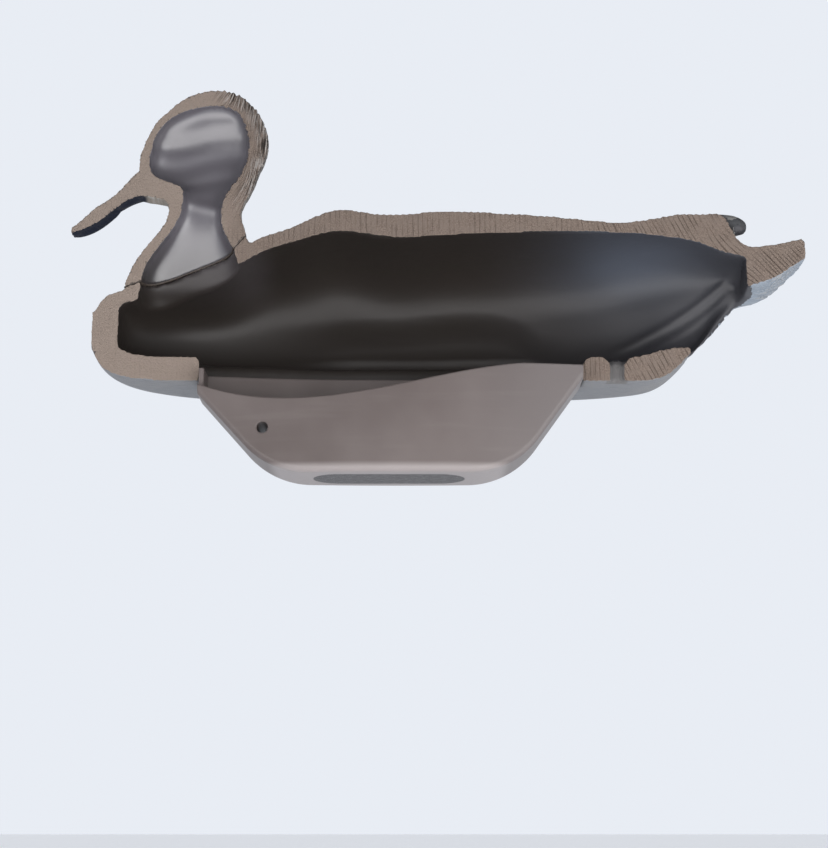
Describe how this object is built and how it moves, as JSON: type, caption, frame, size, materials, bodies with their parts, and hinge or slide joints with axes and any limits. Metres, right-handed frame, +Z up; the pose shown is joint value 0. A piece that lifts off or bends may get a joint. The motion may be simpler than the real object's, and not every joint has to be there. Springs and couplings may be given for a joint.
{
  "type": "duck decoy",
  "caption": "Moulded floating duck decoy sawn open lengthwise to show its thick foam wall, with a whole weighted keel.",
  "frame": {"origin": "middle of the keel's flat foot, on its underside, in the plane of the saw cut", "axes": "+X towards the tail, +Y away from the saw cut, +Z up; the saw cut is the plane y = 0"},
  "size_m": [0.399, 0.0985, 0.2181],
  "materials": {
    "foam_core": "rigid brown foam, sawn face with fine open pores",
    "inner_skin": "smooth moulded inner skin, satin, dark",
    "plumage_paint": "carved feather relief under flat paint",
    "bill_paint": "dark slate paint, slightly satin",
    "keel_plastic": "smooth unpainted moulding, satin, glossier on the foot",
    "ballast": "dark blue-grey cast ballast, dull",
    "adhesive": "dark cured adhesive",
    "eye_glass": "polished dark eye"
  },
  "bodies": {
    "root": {"body_shell": "foam_core", "head_shell": "foam_core", "neck_bond": "adhesive", "keel": "keel_plastic", "keel_weight": "ballast", "keel_bond": "adhesive", "eye": "eye_glass"}
  },
  "joints": []
}
